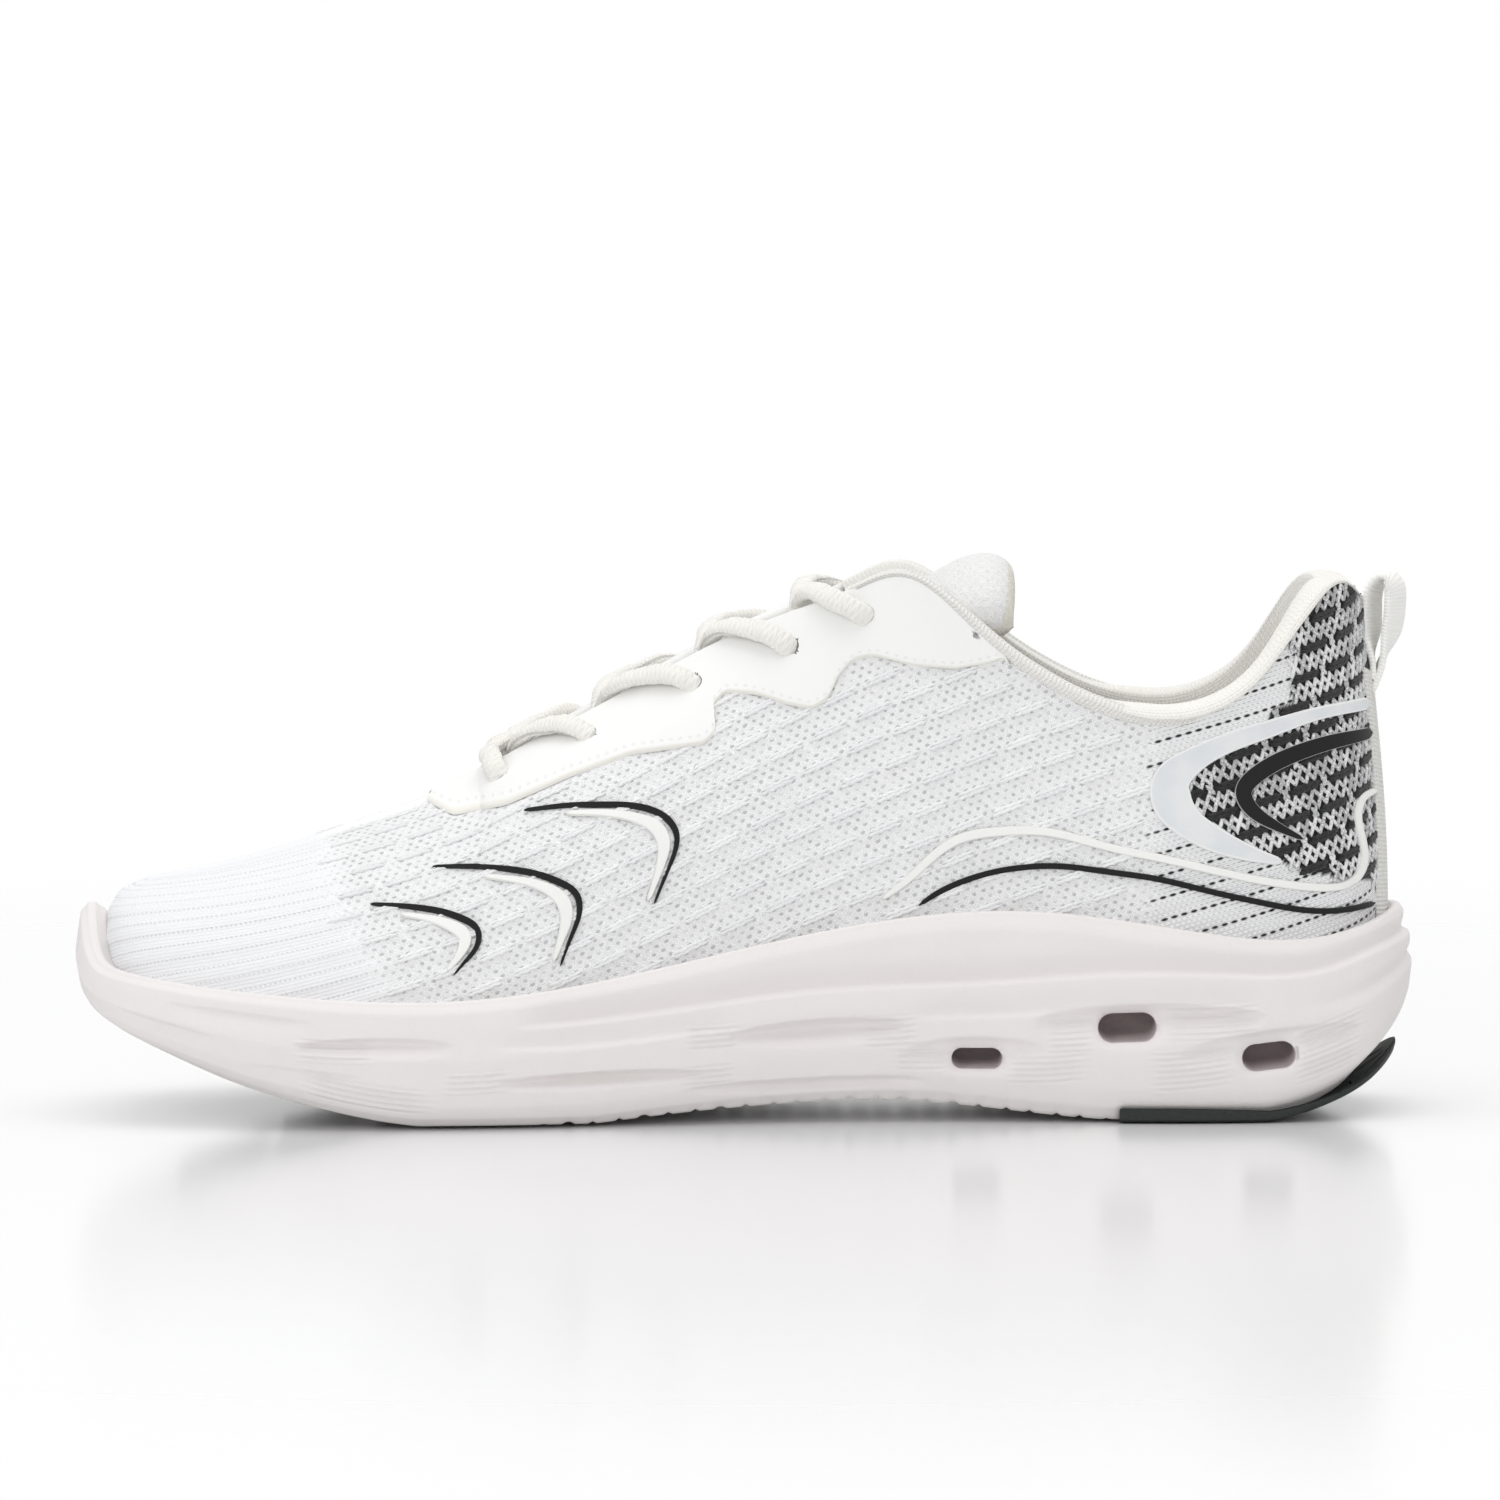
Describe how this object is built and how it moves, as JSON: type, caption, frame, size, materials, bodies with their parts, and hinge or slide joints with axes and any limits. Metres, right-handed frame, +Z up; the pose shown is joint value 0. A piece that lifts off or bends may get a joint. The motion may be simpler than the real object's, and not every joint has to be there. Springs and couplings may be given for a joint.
{
  "type": "running shoe",
  "caption": "Low-cut knit running shoe for the right foot, with film overlays, laces, a padded tongue, a pull loop and a thick foam sole.",
  "frame": {"origin": "on the ground, at the middle of the shoe's length and width", "axes": "+Z up, -X towards the toe tip, -Y towards the inner (medial) side"},
  "size_m": [0.3, 0.1108, 0.1252],
  "materials": {
    "knit": "open engineered knit, white, with grey pores and raised ribs",
    "lining": "cream spacer-mesh lining",
    "cream_film": "smooth off-white no-sew film, satin",
    "black_film": "black no-sew film, satin",
    "pearl_film": "milky grey-white film, satin",
    "webbing": "cream ribbed webbing",
    "lace": "woven cream lace",
    "aglet": "clear-white lace tip",
    "foam": "pinkish white moulded foam, matt",
    "rubber": "black rubber, matt",
    "board": "woven board, matt",
    "padding": "open-cell foam",
    "stiffener": "thermoformed stiffener",
    "insole_foam": "moulded sockliner foam",
    "insole_cloth": "thin insole cloth"
  },
  "bodies": {
    "rearfoot": {"aglet_end": "aglet", "aglet_start": "aglet", "ball_outsole_rear": "rubber", "collar_binding_lateral": "webbing", "collar_binding_medial": "webbing", "collar_lining": "lining", "collar_padding": "padding", "eyestay_lateral": "cream_film", "eyestay_medial": "cream_film", "heel_chevron_lateral": "black_film", "heel_chevron_medial": "black_film", "heel_counter": "stiffener", "heel_outsole": "rubber", "heel_tape": "webbing", "heel_wing_lateral": "pearl_film", "heel_wing_medial": "pearl_film", "insole_cloth_rear": "insole_cloth", "insole_foam_rear": "insole_foam", "knit_quarters": "knit", "knit_vamp_fold": "knit", "lace": "lace", "midsole_rear": "foam", "side_line_black_lateral": "black_film", "side_line_black_medial": "black_film", "side_line_cream_lateral": "cream_film", "side_line_cream_medial": "cream_film", "strobel_board_rear": "board", "stroke_black_1_lateral": "black_film", "stroke_black_1_medial": "black_film", "stroke_black_2_lateral": "black_film", "stroke_black_2_medial": "black_film", "stroke_black_3_lateral": "black_film", "stroke_black_3_medial": "black_film", "stroke_cream_1_lateral": "cream_film", "stroke_cream_1_medial": "cream_film", "stroke_cream_2_lateral": "cream_film", "stroke_cream_2_medial": "cream_film", "stroke_cream_3_lateral": "cream_film", "stroke_cream_3_medial": "cream_film", "tongue_face": "knit", "tongue_lining": "lining", "tongue_padding": "padding"},
    "forefoot": {"knit_toe": "knit", "toe_puff": "stiffener", "midsole_forefoot": "foam", "toe_outsole": "rubber", "ball_outsole_front": "rubber", "strobel_board_forefoot": "board", "insole_foam_forefoot": "insole_foam", "insole_cloth_forefoot": "insole_cloth"},
    "tongue_tab": {"tongue_tab_face": "knit", "tongue_tab_padding": "padding", "tongue_tab_lining": "lining"},
    "pull_loop": {"pull_loop": "webbing"}
  },
  "joints": [
    {"name": "forefoot_flex", "type": "hinge", "parent": "rearfoot", "child": "forefoot", "pos_m": [-0.08535, 0, 0.024], "axis": [0, 1, 0], "range_deg": [0, 22], "stiffness_Nm_per_rad": 0.8, "deforming": ["knit_vamp_fold"]},
    {"name": "tongue_tab_fold", "type": "hinge", "parent": "rearfoot", "child": "tongue_tab", "pos_m": [0.0346, 0.0022, 0.115], "axis": [0, 1, 0], "range_deg": [-35, 8]},
    {"name": "pull_loop_tilt", "type": "hinge", "parent": "rearfoot", "child": "pull_loop", "pos_m": [0.1435, -0.0027, 0.0985], "axis": [0, 1, 0], "range_deg": [0, 60]}
  ]
}
